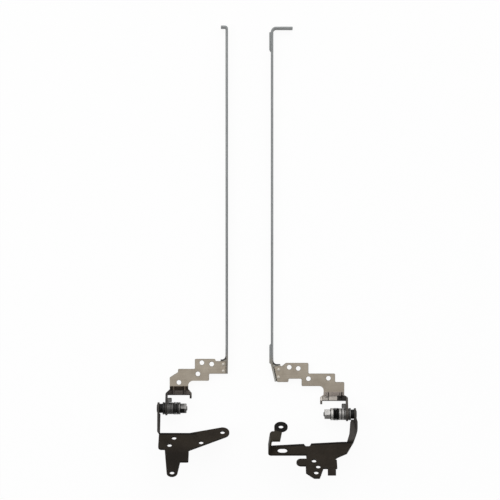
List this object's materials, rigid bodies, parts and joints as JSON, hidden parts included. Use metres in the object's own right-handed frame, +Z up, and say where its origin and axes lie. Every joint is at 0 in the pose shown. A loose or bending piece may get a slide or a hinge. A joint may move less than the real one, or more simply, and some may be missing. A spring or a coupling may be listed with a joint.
{
  "type": "laptop hinge pair",
  "caption": "Left and right laptop lid hinges: black folded base brackets, open friction stacks with spring washers and nut, stepped lid brackets and long hooked display rails.",
  "frame": {"origin": "middle of the pair's bounding box, on the table under it", "axes": "+X to the right along both shafts, +Y up along the display rails, +Z up from the table, towards the camera of the picture"},
  "size_m": [0.1198, 0.2674, 0.0395],
  "materials": {
    "lid_plate": "dull nickel plating, warm grey",
    "rail_steel": "dull zinc plating, cool grey",
    "rivet_steel": "plain steel, upset heads",
    "grey_washer": "greased spring steel, mid grey",
    "base_paint": "black electro-coat, semi matt",
    "shaft_steel": "turned steel, black oxide",
    "black_washer": "black oxide",
    "spring_steel": "black spring steel, oiled",
    "bright_washer": "bright steel",
    "nut_steel": "zinc plated"
  },
  "bodies": {
    "lid_brackets": {"left_lid_bracket": "lid_plate", "left_display_rail": "rail_steel", "left_rail_rivets": "rivet_steel", "left_tab_washer": "grey_washer", "right_lid_bracket": "lid_plate", "right_display_rail": "rail_steel", "right_rail_rivets": "rivet_steel", "right_tab_washer": "grey_washer"},
    "left_base": {"left_base_bracket": "base_paint", "left_shaft": "shaft_steel", "left_shoulder_washer": "black_washer", "left_thrust_washer": "grey_washer", "left_friction_washers": "grey_washer", "left_spring_washers": "spring_steel", "left_pressure_washer": "bright_washer", "left_lock_nut": "nut_steel"},
    "right_base": {"right_base_bracket": "base_paint", "right_shaft": "shaft_steel", "right_shoulder_washer": "black_washer", "right_thrust_washer": "grey_washer", "right_friction_washers": "grey_washer", "right_spring_washers": "spring_steel", "right_pressure_washer": "bright_washer", "right_lock_nut": "nut_steel"}
  },
  "joints": [
    {"name": "left_hinge", "type": "hinge", "parent": "lid_brackets", "child": "left_base", "pos_m": [-0.0593, -0.0955, 0.0065], "axis": [-1, 0, 0], "range_deg": [-10, 128]},
    {"name": "right_hinge", "type": "hinge", "parent": "lid_brackets", "child": "right_base", "pos_m": [0.0593, -0.099, 0.0065], "axis": [-1, 0, 0], "range_deg": [-10, 128]}
  ]
}
